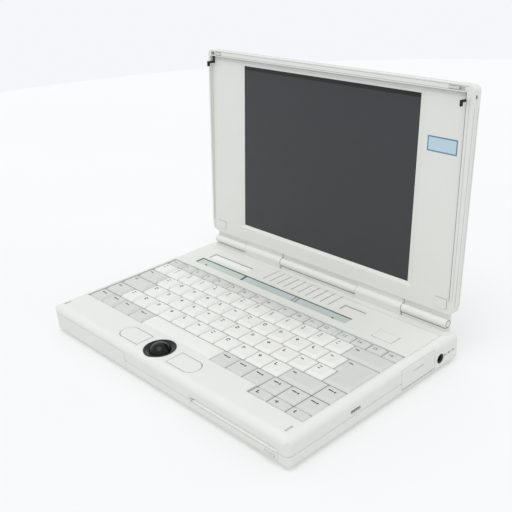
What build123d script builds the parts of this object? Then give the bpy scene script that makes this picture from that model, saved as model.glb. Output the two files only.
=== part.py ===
from build123d import *
import os

# A notebook computer with a trackball, its lid open. Sizes are millimetres.
# X runs along the width, +Y to the back and +Z up. While modelling, Y is zero on the
# lid's hinge axis and Z is zero on the table. The whole is centred at the end.

# Base case
WIDTH = 303.0
FRONT = -187.3
REAR = 3.0
FOOT = 3.0
DECK = 26.3
CREASE = -12.2
REAR_TOP = 24.0
FRONT_CORNER = 4.8
REAR_CORNER = 2.2
SHOULDER = 6.0
BELLY = 2.0
INNER_R = 0.4
WALL = 2.0
SEAM = 12.0
SEAM_GAP = 0.3
FIT = 0.3
FLOOR = FOOT + WALL
CEILING = DECK - WALL
INSIDE_X = WIDTH / 2 - WALL
INSIDE_FRONT = FRONT + WALL
INSIDE_REAR = REAR - WALL
ABOVE = DECK + 1.0
BEFORE = FRONT - 1.0

# Feet and case screws, as places in X and Y
FOOT_R = 4.9
FOOT_PLACES = [(-128.0, -92.0), (128.0, -92.0), (0.0, -176.0), (120.0, -176.0), (-128.0, -30.0), (110.0, -30.0)]
HEEL_X = (128.0, 146.0)
HEEL_Y = (-9.0, 0.8)
HEEL_PAD = 0.8
SCREW_R = 1.35
SCREW_HEAD_R = 2.6
BOSS_R = 2.5
SCREW_PLACES = [(-143.5, -97.0), (-143.5, -6.5), (143.3, -77.5), (143.3, -6.5), (40.2, -181.6), (-36.6, -181.8)]

# Lid, in its own upright frame: X, height V above the hinge, depth W in front of the bezel
HINGE_Z = 31.0
TILT = 5.9
LID_HALF = 149.5
LID_LOW = 8.4
LID_TOP = 188.0
LID_CORNER_LOW = 8.0
LID_CORNER_TOP = 4.5
BEZEL_OUT = 1.1
BEZEL_THICK = 1.8
RIM_HIGH = 3.1
RIM_LEFT = 3.0
RIM_RIGHT = 6.3
RIM_TOP = 5.4
RIM_LOW = 0.4
LID_BACK = 8.0
LID_WALL = 1.6
LID_ROUND = 3.2
SHELL_GAP = 0.15
SCREEN_X = (-102.25, 100.45)
SCREEN_LOW = 23.9
SCREEN_HIGH = 176.9
BEVEL_SIDE = 5.8
BEVEL_ENDS = 3.0
BEVEL_DEEP = 1.3
CAP_PLACES = [(-135.5, 16.4), (135.5, 16.4)]

# Hinge
KNUCKLE_R = 3.8
PIN_R = 2.0
RUNNING = 0.05
OUTER_KNUCKLE = (98.5, 143.5)
INNER_KNUCKLE = 47.5
COVER_SPAN = (48.1, 97.9)
COVER_R = 7.9
COVER_BARREL = 4.1
COVER_NECK = (0.5, 2.8)
BACK_RIB = (1.4, 2.8)
BACK_RIB_Z = (20.5, 27.6)
BRACKET_SPAN = (56.0, 90.0)
BRACKET_Y = (-1.4, 0.2)

# Latches
HOOK_X = {-1: -144.0, 1: 142.3}
HOOK_WIDE = 1.4
HOOK_V = 175.4
HOOK_HALF = 2.3
HOOK_OUT = 8.4
HOOK_TRAVEL = 2.0
SLOT_WIDE = 2.1
SLOT_Y = (-HOOK_V - HOOK_HALF - HOOK_TRAVEL - 0.4, -HOOK_V + HOOK_HALF + 0.4)
SLIDER_X = {-1: (-140.0, -131.0), 1: (127.5, 136.5)}
SLIDER_V = (184.1, 186.1)
SLIDER_TRAVEL = 5.0

# Keyboard
PITCH = 19.0
ROW = 18.0
HALF_ROW = 10.0
FUNCTION_PITCH = 16.0
FUNCTION_GAP = 4.0
WELL_HALF = 144.5
KEYS_HALF = 144.0
WELL_REAR = -54.9
TOP_ROW_REAR = -55.2
ROWS_REAR = -65.2
WELL_FRONT = -155.7
CURSOR_LEFT = 86.5
CURSOR_FRONT = -165.7
KEY_BOTTOM = 20.8
KEY_HIGH = 6.0
KEY_GAP = 1.0
KEY_SLOPE = 2.4
DISH_R = 38.0
DISH_DEEP = 0.5
TRAY_TOP = 18.4
TRAY_THICK = 0.9
TRAY_EDGE = 0.6
TRAY_LOW = TRAY_TOP - TRAY_THICK
SKIRT = 1.0

# Trackball and its two buttons
BALL_X = -12.0
BALL_Y = -170.4
BALL_R = 9.5
BALL_PROUD = 5.0
BALL_Z = DECK + BALL_PROUD - BALL_R
RING_R = 13.4
RING_PROUD = 0.5
THROAT_R = 8.5
CUP_R = 11.6
CUP_LOW = 9.6
ROLLER_R = 1.5
AXLE_R = 0.9
BUTTON_INNER = 20.2
BUTTON_OUTER = 49.5
BUTTON_HALF = 8.0
BUTTON_Y = -170.9
BUTTON_THICK = 2.2
BUTTON_PROUD = 0.3
BUTTON_TRAVEL = 1.0

# Battery pack and diskette drive in the front
PACK_RIGHT = -40.0
PACK_TOP = 16.3
PACK_FACE_TOP = 19.6
PACK_REAR = -104.0
PACK_FACE = 4.5
PACK_SKIN = 1.0
CELL_COUNT = 6
CELL_LONG = 67.0
DRIVE_LEFT = 44.0
DRIVE_RIGHT = 145.8
DRIVE_REAR = -88.0
DISK_X = (46.5, 139.5)
DISK_Z = (10.6, 14.8)
DISK_DEEP = 92.0
DRIVE_FACE_X = (45.0, 141.0)
DRIVE_FACE_Z = (5.6, 15.4)
EJECT_X = (128.0, 138.0)
EJECT_Z = (6.7, 8.3)

# Deck behind the keyboard
STATUS_X = (-124.6, 73.5)
STATUS_Y = (-45.9, -35.6)
LABEL_X = (-121.0, -65.5)
LABEL_Y = (-31.3, -21.9)
VENT_X = (-42.8, 39.8)
VENT_Y = (-30.3, -10.2)
VENT_COUNT = 10
BADGE_X = (52.0, 76.0)
BADGE_Y = (-29.0, -20.8)
POWER_X = (103.3, 123.3)
POWER_Y = (-46.7, -35.3)
SPEAKER = (-1.0, -24.0)
SPEAKER_R = 9.0

# Right side
JACK_Y = -20.1
JACK_Z = 11.3
JACK_R = 4.3
JACK_BORE = 3.0
LOCK_Y = (-125.3, -114.8)
LOCK_Z = (14.2, 17.0)
DOOR_Y = (-68.3, -28.0)
DOOR_Z = (5.6, 22.4)
DOOR_THICK = 1.8
DOOR_HINGE_Z = 6.7
DOOR_BARREL_R = 1.05

# Boards and drives inside
BOARD_Z = (5.6, 7.2)
PORT_LOW = 7.8
PORT_HIGH = 12.0
PORTS = [(-126.0, 31.0), (-27.0, 53.0), (95.0, 31.0)]

parts = {}


def block(x0, x1, y0, y1, z0, z1):
    """A box between two corners."""
    return Pos((x0 + x1) / 2, (y0 + y1) / 2, (z0 + z1) / 2) * Box(x1 - x0, y1 - y0, z1 - z0)


def rod_x(x0, x1, y, z, r):
    """A round rod along X."""
    return Pos((x0 + x1) / 2, y, z) * Rot(Y=90) * Cylinder(r, abs(x1 - x0))


def rod_y(y0, y1, x, z, r):
    """A round rod along Y."""
    return Pos(x, (y0 + y1) / 2, z) * Rot(X=90) * Cylinder(r, abs(y1 - y0))


def rod_z(z0, z1, x, y, r):
    """A round rod along Z."""
    return Pos(x, y, (z0 + z1) / 2) * Cylinder(r, z1 - z0)


def slab(x0, x1, y0, y1, z0, z1, r, axis=Axis.Z):
    """A box whose edges along one axis are rounded."""
    body = block(x0, x1, y0, y1, z0, z1)
    return fillet(body.edges().filter_by(axis), r)


def span(side, pair):
    """A stretch of X on the left or right of the middle, low end first."""
    return sorted((side * pair[0], side * pair[1]))


def top_edges(body):
    return body.faces().sort_by(Axis.Z)[-1].edges()


def envelope(inset):
    """The outer form of the base, or its hollow when inset by the wall."""
    x = WIDTH / 2 - inset
    high = DECK - inset
    body = block(-x, x, FRONT + inset, REAR - inset, FOOT + inset, high)
    body = fillet(top_edges(body), SHOULDER - inset)
    body = fillet(body.faces().sort_by(Axis.Z)[0].edges(), max(BELLY - inset, INNER_R))
    plan = block(-x, x, FRONT + inset, REAR - inset, 0, ABOVE)
    plan = fillet(plan.edges().filter_by(Axis.Z).sort_by(Axis.Y)[:2], FRONT_CORNER - inset)
    plan = fillet(plan.edges().filter_by(Axis.Z).sort_by(Axis.Y)[-2:], max(REAR_CORNER - inset, INNER_R))
    body = body & plan
    slope = (DECK - REAR_TOP) / (REAR - CREASE)
    past = REAR + 1
    low = high - slope * (past - CREASE)
    wedge = make_face(Polyline((CREASE, high), (past, low), (past, high + 5), (CREASE, high + 5), close=True))
    return body - extrude(Plane.YZ * wedge, amount=x + 5, both=True)


def well(z0, z1, grow):
    """The keyboard's well with the notch for the cursor keys."""
    main = block(-WELL_HALF - grow, WELL_HALF + grow, WELL_FRONT - grow, WELL_REAR + grow, z0, z1)
    return main + block(CURSOR_LEFT - grow, WELL_HALF + grow, CURSOR_FRONT - grow, WELL_FRONT, z0, z1)


def button(side, grow, z0, z1):
    """A trackball button: square towards the ball, round at its outer end."""
    r = BUTTON_HALF + grow
    middle = BALL_X + side * (BUTTON_OUTER - BUTTON_HALF)
    inner = BALL_X + side * (BUTTON_INNER - grow)
    low, high = sorted((inner, middle))
    return block(low, high, BUTTON_Y - r, BUTTON_Y + r, z0, z1) + rod_z(z0, z1, middle, BUTTON_Y, r)


def pack_face(grow):
    """The space of the battery's front, which closes the corner of the case."""
    return block(-WIDTH, PACK_RIGHT + grow, BEFORE, FRONT + PACK_FACE + grow, 0, PACK_FACE_TOP + grow)


def drive_face(grow):
    """The space of the diskette drive's bezel."""
    z0, z1 = DRIVE_FACE_Z
    return block(DRIVE_FACE_X[0] - grow, DRIVE_FACE_X[1] + grow, BEFORE, INSIDE_FRONT + 1, z0 - grow, z1 + grow)


def knuckle_spans():
    """The three stretches of X that the lid's knuckles take up."""
    return (span(-1, OUTER_KNUCKLE), (-INNER_KNUCKLE, INNER_KNUCKLE), OUTER_KNUCKLE)


def case_shell():
    """The case before it is split, open wherever something passes through its walls."""
    body = envelope(0) - envelope(WALL) - pack_face(FIT) - drive_face(0.2)
    gap = 0.25
    side = (INSIDE_X - 1, WIDTH)
    body -= block(*side, DOOR_Y[0] - gap, DOOR_Y[1] + gap, DOOR_Z[0] - gap, DOOR_Z[1] + gap)
    body -= rod_x(*side, JACK_Y, JACK_Z, JACK_R)
    body -= block(*side, *LOCK_Y, *LOCK_Z)
    for x, wide in PORTS:
        body -= block(x - gap, x + wide + gap, INSIDE_REAR - 1, REAR + 1, PORT_LOW - gap, PORT_LOW + PORT_HIGH + gap)
    return body


def deck_openings():
    """Everything that is cut into the top from above."""
    gap = 0.4
    cuts = [well(TRAY_LOW - 2, ABOVE, 0), block(*STATUS_X, *STATUS_Y, CEILING - 1, ABOVE)]
    cuts.append(block(*LABEL_X, *LABEL_Y, DECK - 0.7, ABOVE))
    cuts.append(block(*BADGE_X, *BADGE_Y, DECK - 0.6, ABOVE))
    cuts.append(block(POWER_X[0] - gap, POWER_X[1] + gap, POWER_Y[0] - gap, POWER_Y[1] + gap, CEILING - 1, ABOVE))
    cuts.append(rod_z(CEILING - 1, ABOVE, BALL_X, BALL_Y, RING_R + 0.1))
    step = (VENT_X[1] - VENT_X[0]) / (VENT_COUNT - 1)
    for n in range(VENT_COUNT):
        x = VENT_X[0] + n * step
        cuts.append(block(x - 0.5, x + 0.5, *VENT_Y, CEILING - 1, ABOVE))
    for side in (-1, 1):
        x = HOOK_X[side]
        cuts.append(button(side, gap + 0.2, CEILING - 2, ABOVE))
        cuts.append(block(x - SLOT_WIDE / 2, x + SLOT_WIDE / 2, *SLOT_Y, CEILING - 4, ABOVE))
        x0, x1 = span(side, BRACKET_SPAN)
        cuts.append(block(x0 - gap, x1 + gap, BRACKET_Y[0] - gap, BRACKET_Y[1] + gap, CEILING - 5, ABOVE))
    return cuts


def top_cover(case):
    body = case & block(-WIDTH, WIDTH, BEFORE, REAR + 1, SEAM + SEAM_GAP / 2, ABOVE)
    skirt = well(TRAY_LOW + 0.1, CEILING + 0.5, SKIRT) - well(TRAY_LOW, ABOVE, 0)
    body += skirt & envelope(0.5)
    for x, y in SCREW_PLACES:
        body += rod_z(SEAM + SEAM_GAP / 2, CEILING + 0.2, x, y, BOSS_R) & envelope(0.5)
    for x0, x1 in knuckle_spans():
        rib = block(x0, x1, *BACK_RIB, *BACK_RIB_Z) - rod_x(x0 - 1, x1 + 1, 0, HINGE_Z, KNUCKLE_R + FIT)
        body += rib
    for cut in deck_openings():
        body -= cut
    for x, y in SCREW_PLACES:
        body -= rod_z(SEAM - 1, SEAM + 9, x, y, SCREW_R + 0.1)
    return body


def bottom_case(case):
    """The tub with its bosses, foot seats and the two heels at the rear corners."""
    body = case & block(-WIDTH, WIDTH, BEFORE, REAR + 1, 0, SEAM - SEAM_GAP / 2)
    for x, y in SCREW_PLACES:
        body += rod_z(FLOOR - 0.5, SEAM - SEAM_GAP / 2, x, y, BOSS_R) & envelope(0.5)
    for side in (-1, 1):
        body += slab(*span(side, HEEL_X), *HEEL_Y, HEEL_PAD, FOOT + 0.5, 1.5)
    for x, y in SCREW_PLACES:
        body -= rod_z(FOOT - 1, SEAM + 1, x, y, SCREW_R + 0.1)
        body -= rod_z(FOOT - 1, FLOOR + 0.2, x, y, SCREW_HEAD_R + 0.3)
    for x, y in FOOT_PLACES:
        body -= rod_z(FOOT - 1, FOOT + 0.6, x, y, FOOT_R + 0.2)
    return body


def case_pieces():
    case = case_shell()
    parts["top_cover"] = top_cover(case)
    parts["bottom_case"] = bottom_case(case)
    feet = [rod_z(0, FOOT + 0.6, x, y, FOOT_R) for x, y in FOOT_PLACES]
    for side in (-1, 1):
        x0, x1 = span(side, HEEL_X)
        feet.append(slab(x0 + 1, x1 - 1, HEEL_Y[0] + 1, HEEL_Y[1] - 1, 0, HEEL_PAD, 1.2))
    parts["rubber_feet"] = Compound(children=feet)
    screws = []
    for x, y in SCREW_PLACES:
        head = rod_z(FOOT + 0.5, FLOOR + 0.1, x, y, SCREW_HEAD_R) - rod_z(FOOT, FOOT + 1.4, x, y, 1.0)
        screws.append(head + rod_z(FLOOR, SEAM + 3.3, x, y, SCREW_R))
    parts["case_screws"] = Compound(children=screws)


def battery():
    """A pack whose face closes the corner of the case, and the flat cells in it."""
    x0 = -INSIDE_X + 2.2
    x1 = PACK_RIGHT - FIT
    z0 = FLOOR + FIT
    z1 = PACK_TOP - 0.2
    cell_front = FRONT + 7.0
    pack = (envelope(0) & pack_face(0)) + block(x0, x1, FRONT + 4, PACK_REAR, z0, z1)
    skin = PACK_SKIN
    pack -= block(x0 + skin, x1 - skin, cell_front - 0.1, PACK_REAR - skin, z0 + skin, z1 - skin)
    parts["battery_pack"] = pack
    wide = (x1 - x0 - 2 * skin - 0.2) / CELL_COUNT
    cells = []
    for n in range(CELL_COUNT):
        left = x0 + skin + 0.1 + n * wide
        cells.append(block(left + 0.1, left + wide - 0.1, cell_front, cell_front + CELL_LONG, z0 + skin + 0.1,
                           z1 - skin - 0.1))
    parts["battery_cells"] = Compound(children=cells)


def diskette_drive():
    """The drive's body, its bezel with a sloping lower lip, and the eject button."""
    slot = block(*DISK_X, BEFORE - 1, FRONT + DISK_DEEP, *DISK_Z)
    body = block(DRIVE_LEFT, DRIVE_RIGHT, INSIDE_FRONT + 2.4, DRIVE_REAR, FLOOR + 0.2, TRAY_LOW)
    parts["diskette_drive"] = body - slot
    low = DISK_Z[0]
    lip = make_face(Polyline((BEFORE, low - 1.3), (FRONT + 3.1, low + 0.1), (BEFORE, low + 0.1), close=True))
    middle = (DISK_X[0] + DISK_X[1]) / 2
    bezel = (envelope(0) & drive_face(0)) - slot
    bezel -= extrude(Plane.YZ.offset(middle) * lip, amount=(DISK_X[1] - DISK_X[0]) / 2, both=True)
    gap = 0.25
    bezel -= block(EJECT_X[0] - gap, EJECT_X[1] + gap, BEFORE, FRONT + 5, EJECT_Z[0] - gap, EJECT_Z[1] + gap)
    parts["diskette_bezel"] = bezel
    parts["eject_button"] = block(*EJECT_X, FRONT - 1.2, INSIDE_FRONT + 0.2, *EJECT_Z)


def drives_and_boards():
    """Hard drive, main board and what stands on it."""
    parts["hard_drive"] = slab(-36.0, 33.8, -152.0, -52.0, FLOOR + 0.2, TRAY_LOW, 1.5)
    board = block(-147.0, 147.0, -49.5, -3.0, *BOARD_Z)
    board += block(-147.0, -39.0, -94.0, -49.0, *BOARD_Z)
    board += block(36.5, 133.0, -86.0, -49.0, *BOARD_Z)
    board -= block(128.0, 150.0, -70.0, -12.0, BOARD_Z[0] - 1, BOARD_Z[1] + 1)
    for x, y in SCREW_PLACES:
        board -= rod_z(BOARD_Z[0] - 1, BOARD_Z[1] + 1, x, y, BOSS_R + 0.6)
    parts["main_board"] = board
    top = BOARD_Z[1]
    sink = block(-108.0, -70.0, -88.0, -50.5, top + 2.2, top + 3.4)
    for n in range(9):
        x = -107.0 + n * 4.4
        sink += block(x, x + 1.2, -88.0, -50.5, top + 3.4, top + 8.0)
    parts["processor_heat_sink"] = sink + block(-104.0, -74.0, -84.0, -54.0, top, top + 2.2)
    memory = block(50.0, 110.0, -84.0, -60.0, top + 1.8, top + 2.8) + block(50.0, 110.0, -62.0, -58.5, top, top + 1.8)
    for n in range(4):
        memory += block(53.0 + 14 * n, 64.0 + 14 * n, -80.0, -64.0, top + 2.8, top + 4.4)
    parts["memory_board"] = memory
    cone = rod_z(19.5, CEILING - 0.1, *SPEAKER, SPEAKER_R) - rod_z(22.8, CEILING, *SPEAKER, SPEAKER_R - 1.2)
    parts["speaker"] = cone + rod_z(16.5, 19.6, *SPEAKER, SPEAKER_R - 3)


def rear_ports():
    """Three D-shaped connectors with their jack posts on the back wall."""
    shells = []
    top = PORT_LOW + PORT_HIGH
    middle = PORT_LOW + PORT_HIGH / 2
    inner = 5.6
    lip = 0.6
    for x, wide in PORTS:
        right = x + wide
        shell = slab(x, right, INSIDE_REAR - 0.4, INSIDE_REAR + 1, PORT_LOW, top, 1.5, Axis.Y)
        shell += slab(x + inner, right - inner, INSIDE_REAR + 0.9, REAR + 2.6, PORT_LOW + 1.9, top - 1.9, 2.2, Axis.Y)
        shell -= slab(x + inner + lip, right - inner - lip, REAR - 0.4, REAR + 4, PORT_LOW + 1.9 + lip,
                      top - 1.9 - lip, 1.8, Axis.Y)
        for post in (x + 2.8, right - 2.8):
            shell += rod_y(INSIDE_REAR + 0.8, REAR + 2.2, post, middle, 1.9)
            shell -= rod_y(REAR - 1, REAR + 4, post, middle, 1.1)
        shells.append(shell + block(x + 4, right - 4, -11.0, INSIDE_REAR - 0.3, BOARD_Z[1], top - 1))
    parts["rear_ports"] = Compound(children=shells)


def right_side():
    """Power socket, lock plate, and a port door with the connector behind it."""
    out = WIDTH / 2
    deep = 13.0
    socket = block(INSIDE_X - deep, INSIDE_X - 0.1, JACK_Y - 5.2, JACK_Y + 5.2, FLOOR + 0.5, JACK_Z + 5.2)
    socket += rod_x(INSIDE_X - 1, out - 0.6, JACK_Y, JACK_Z, JACK_R - 0.1)
    parts["power_socket"] = socket - rod_x(INSIDE_X - deep + 3, WIDTH, JACK_Y, JACK_Z, JACK_BORE)
    plate = block(INSIDE_X - 1.6, INSIDE_X - 0.1, LOCK_Y[0] - 2, LOCK_Y[1] + 2, LOCK_Z[0] - 1.6, LOCK_Z[1] + 1.6)
    parts["lock_plate"] = plate - block(0, WIDTH, LOCK_Y[0] + 1.75, LOCK_Y[1] - 1.75, LOCK_Z[0] + 0.6, LOCK_Z[1] - 0.6)
    door = envelope(0) & block(INSIDE_X - 1, WIDTH, *DOOR_Y, DOOR_HINGE_Z, DOOR_Z[1])
    door = (door - envelope(DOOR_THICK)) + rod_y(*DOOR_Y, out - DOOR_BARREL_R - 0.05, DOOR_HINGE_Z, DOOR_BARREL_R)
    nick = block(out - 0.6, WIDTH, DOOR_Y[0] + 14, DOOR_Y[1] - 14, DOOR_Z[1] - 6.5, DOOR_Z[1] - 5.5)
    parts["port_door"] = door - nick
    middle = (DOOR_Y[0] + DOOR_Y[1]) / 2
    body = block(131.0, 141.0, DOOR_Y[0] + 3, DOOR_Y[1] - 3, FLOOR, TRAY_LOW - 0.4)
    parts["side_connector"] = body + block(141.0, 146.6, middle - 9.5, middle + 9.5, 8.8, 16.4)


def deck_pieces():
    """Status strip, power button, and the switches under the buttons."""
    gap = 0.1
    parts["status_display"] = block(STATUS_X[0] + gap, STATUS_X[1] - gap, STATUS_Y[0] + gap, STATUS_Y[1] - gap,
                                    CEILING - 2.3, DECK - 0.9)
    cap = slab(*POWER_X, *POWER_Y, CEILING - 1.9, DECK + 0.35, 0.8)
    parts["power_button"] = fillet(top_edges(cap), 0.3)
    power = ((POWER_X[0] + POWER_X[1]) / 2, (POWER_Y[0] + POWER_Y[1]) / 2)
    switches = [switch(*power, BOARD_Z[1], CEILING - 1.9)]
    for side in (-1, 1):
        x = BALL_X + side * (BUTTON_INNER + 14)
        switches.append(switch(x, BUTTON_Y, TRAY_TOP, DECK + BUTTON_PROUD - BUTTON_THICK))
    parts["switches"] = Compound(children=switches)


def switch(x, y, low, under):
    """A push switch whose plunger stands just clear of the pressed button."""
    tip = under - BUTTON_TRAVEL - 0.3
    return block(x - 3, x + 3, y - 3, y + 3, low, tip - 1.2) + rod_z(tip - 1.3, tip, x, y, 1.6)


def ball(grow):
    return Pos(BALL_X, BALL_Y, BALL_Z) * Sphere(BALL_R + grow)


def trackball():
    """Ball, dished ring, cup with bearings, and two rollers at the ball's equator."""
    top = DECK + RING_PROUD
    dish = Pos(BALL_X, BALL_Y, top - 0.7) * Cone(THROAT_R, RING_R - 0.8, 1.5)
    ring = rod_z(CEILING - 0.8, top, BALL_X, BALL_Y, RING_R) - dish
    parts["trackball_ring"] = ring - rod_z(CEILING - 2, ABOVE, BALL_X, BALL_Y, THROAT_R) - ball(0.25)
    parts["trackball"] = ball(0)
    reach = BALL_R + ROLLER_R + RUNNING
    across = (BALL_Y + reach, BALL_Z)
    along = (BALL_X - reach, BALL_Z)
    cup = rod_z(CUP_LOW, CEILING - 1, BALL_X, BALL_Y, CUP_R) + rod_z(FLOOR, CUP_LOW + 1, BALL_X, BALL_Y, 6.0)
    for end in (-1, 1):
        x0, x1 = sorted((BALL_X + end * 7.4, BALL_X + end * 9.6))
        cup += block(x0, x1, across[0] - 2, across[0] + 1.5, CUP_LOW + 6, BALL_Z + 1.4)
        y0, y1 = sorted((BALL_Y + end * 7.4, BALL_Y + end * 9.0))
        cup += block(along[0] - 1.5, along[0] + 2, y0, y1, CUP_LOW + 6, BALL_Z + 1.4)
    cup = cup - ball(0.4) - rod_z(BALL_Z, DECK, BALL_X, BALL_Y, BALL_R + 0.4)
    cup -= rod_x(BALL_X - 6.6, BALL_X + 6.6, *across, ROLLER_R + 0.4)
    cup -= rod_x(BALL_X - 10, BALL_X + 10, *across, AXLE_R + RUNNING)
    cup -= rod_y(BALL_Y - 6.6, BALL_Y + 6.6, *along, ROLLER_R + 0.4)
    parts["trackball_cup"] = cup - rod_y(BALL_Y - 10, BALL_Y + 10, *along, AXLE_R + RUNNING)
    parts["pitch_roller"] = roller(rod_x, BALL_X, across)
    parts["roll_roller"] = roller(rod_y, BALL_Y, along)


def roller(rod, centre, place):
    """A roller on its axle, with a slotted disc at one end."""
    disc = rod(centre - 11.4, centre - 10.4, *place, 1.8)
    return rod(centre - 6, centre + 6, *place, ROLLER_R) + rod(centre - 11.4, centre + 9, *place, AXLE_R) + disc


def trackball_buttons():
    top = DECK + BUTTON_PROUD
    for side, name in ((-1, "left_button"), (1, "right_button")):
        parts[name] = fillet(top_edges(button(side, 0, top - BUTTON_THICK, top)), 0.5)
    clear = 16.5
    boards = [block(BALL_X - 51, BALL_X - clear, BUTTON_Y - 7.5, BUTTON_Y + 7, TRAY_TOP - 1, TRAY_TOP)]
    boards.append(block(BALL_X + clear, BALL_X + 54, BUTTON_Y - 7.5, BUTTON_Y + 7, TRAY_TOP - 1, TRAY_TOP))
    parts["button_boards"] = Compound(children=boards)


def key_slots():
    """Every key as its group, left edge, width, rear edge and depth, row by row."""
    keys = []
    rows = [ROWS_REAR - ROW * n for n in range(6)]

    def run(group, left, count, width, rear, depth=ROW):
        for n in range(count):
            keys.append((group, left + n * width, width, rear, depth))
        return left + count * width

    x = -KEYS_HALF
    for count in (1, 4, 4, 4, 4):
        x = run("function_keys", x, count, FUNCTION_PITCH, TOP_ROW_REAR, HALF_ROW) + FUNCTION_GAP
    x = run("number_keys", -KEYS_HALF, 13, PITCH, rows[0])
    run("backspace_key", x, 1, KEYS_HALF - x, rows[0])
    x = run("modifier_keys", -KEYS_HALF, 1, 1.5 * PITCH, rows[1])
    x = run("upper_letter_keys", x, 12, PITCH, rows[1])
    run("enter_key", x, 1, KEYS_HALF - x, rows[1])
    x = run("modifier_keys", -KEYS_HALF, 1, 1.75 * PITCH, rows[2])
    x = run("home_letter_keys", x, 12, PITCH, rows[2])
    run("enter_key", x, 1, KEYS_HALF - x, rows[2])
    x = run("left_shift_key", -KEYS_HALF, 1, 1.25 * PITCH, rows[3])
    x = run("lower_letter_keys", x, 11, PITCH, rows[3])
    run("right_shift_key", x, 1, KEYS_HALF - PITCH - x, rows[3])
    run("modifier_keys", KEYS_HALF - PITCH, 1, PITCH, rows[3])
    x = run("modifier_keys", -KEYS_HALF, 2, PITCH, rows[4])
    x = run("modifier_keys", x, 1, 1.25 * PITCH, rows[4])
    x = run("modifier_keys", x, 1, 1.05 * PITCH, rows[4])
    space_right = KEYS_HALF - 6 * PITCH
    run("space_bar", x, 1, space_right - x, rows[4])
    x = run("modifier_keys", space_right, 4, PITCH, rows[4])
    x = run("cursor_keys", x, 1, PITCH, rows[4])
    run("modifier_keys", x, 1, PITCH, rows[4])
    run("cursor_keys", KEYS_HALF - 3 * PITCH, 3, PITCH, rows[5], HALF_ROW)
    return keys


def key_cap(width, depth):
    """A key cap with sloping sides and a shallow dish, standing on Z zero."""
    ends = KEY_SLOPE if depth > HALF_ROW else KEY_SLOPE / 2
    long = width - KEY_GAP
    deep = depth - KEY_GAP
    base = Plane.XY * Rectangle(long, deep)
    top = Plane.XY.offset(KEY_HIGH) * (Pos(0, ends / 5) * Rectangle(long - 2 * KEY_SLOPE, deep - 2 * ends))
    cap = loft([base, top], ruled=True)
    if width > 3 * PITCH:
        return cap
    return cap - Pos(0, 0, KEY_HIGH + DISH_R - DISH_DEEP) * Rot(X=90) * Cylinder(DISH_R, depth)


def keyboard():
    """The steel tray and the keys above it, one node for each group."""
    parts["keyboard_tray"] = well(TRAY_LOW, TRAY_TOP, -TRAY_EDGE)
    caps = {}
    groups = {}
    for group, left, width, rear, depth in key_slots():
        size = (round(width, 3), depth)
        if size not in caps:
            caps[size] = key_cap(width, depth)
        groups.setdefault(group, []).append(Pos(left + width / 2, rear - depth / 2, KEY_BOTTOM) * caps[size])
    for group, keys in groups.items():
        parts[group] = Compound(children=keys) if len(keys) > 1 else keys[0]
    upper, lower = groups["enter_key"]
    low = lower.bounding_box()
    high = upper.bounding_box()
    bridge = block(low.min.X + 2.3, low.max.X - 2.3, low.max.Y - 4, high.min.Y + 4, KEY_BOTTOM,
                   KEY_BOTTOM + KEY_HIGH - 1)
    parts["enter_key"] = upper + lower + bridge


def lid_box(x0, x1, w0, w1, v0, v1):
    """A box in the upright lid, from its widths, depths and heights."""
    return block(x0, x1, -(w1 + BEZEL_OUT), -(w0 + BEZEL_OUT), v0, v1)


def lid_rod(x, v, w0, w1, r):
    """A round rod through the lid's thickness."""
    return rod_y(-(w1 + BEZEL_OUT), -(w0 + BEZEL_OUT), x, v, r)


def lid_outline(w0, w1, inset=0.0):
    """The lid's rounded outline between two depths."""
    body = lid_box(-LID_HALF + inset, LID_HALF - inset, w0, w1, LID_LOW + inset, LID_TOP - inset)
    body = fillet(body.edges().filter_by(Axis.Y).sort_by(Axis.Z)[:2], LID_CORNER_LOW - inset)
    return fillet(body.edges().filter_by(Axis.Y).sort_by(Axis.Z)[-2:], LID_CORNER_TOP - inset)


def lid_bezel():
    """The front frame with its raised rim, bevelled window, latch recesses and screw holes."""
    rim = lid_outline(-0.2, RIM_HIGH)
    rim -= lid_box(-LID_HALF + RIM_LEFT, LID_HALF - RIM_RIGHT, -1, RIM_HIGH + 1, 0, LID_TOP - RIM_TOP)
    low = -BEZEL_OUT - RIM_LOW
    front = -BEZEL_OUT - RIM_HIGH
    taper = make_face(Polyline((low, 0), (front, LID_TOP), (front - 5, LID_TOP), (front - 5, 0), close=True))
    rim -= extrude(Plane.YZ * taper, amount=LID_HALF + 5, both=True)
    high = SCREEN_HIGH - SCREEN_LOW
    wide = SCREEN_X[1] - SCREEN_X[0]
    centre = ((SCREEN_X[0] + SCREEN_X[1]) / 2, -BEZEL_OUT - 0.01, (SCREEN_LOW + SCREEN_HIGH) / 2)
    face = Plane(origin=centre, z_dir=(0, -1, 0), x_dir=(1, 0, 0))
    outer = face * Rectangle(wide + 2 * BEVEL_SIDE, high + 2 * BEVEL_ENDS)
    inner = face.offset(-BEVEL_DEEP) * Rectangle(wide, high)
    body = lid_outline(-BEZEL_THICK, 0) + rim - loft([inner, outer], ruled=True)
    body -= lid_box(*SCREEN_X, -5, 5, SCREEN_LOW, SCREEN_HIGH)
    for side in (-1, 1):
        x = HOOK_X[side]
        body -= lid_box(x - 1, x + 1, -0.6, 2.3, LID_TOP - RIM_TOP - 1, LID_TOP - 1.4)
        x0, x1 = SLIDER_X[side]
        x0 -= FIT + (SLIDER_TRAVEL if side < 0 else 0)
        x1 += FIT + (SLIDER_TRAVEL if side > 0 else 0)
        body -= lid_box(x0, x1, 1.2, RIM_HIGH + 1, SLIDER_V[0] - FIT, SLIDER_V[1] + FIT)
    for x, v in CAP_PLACES:
        body = body - lid_rod(x, v, -3, 1, 1.6) - lid_rod(x, v, -0.9, 1, 2.9)
    return body


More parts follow.
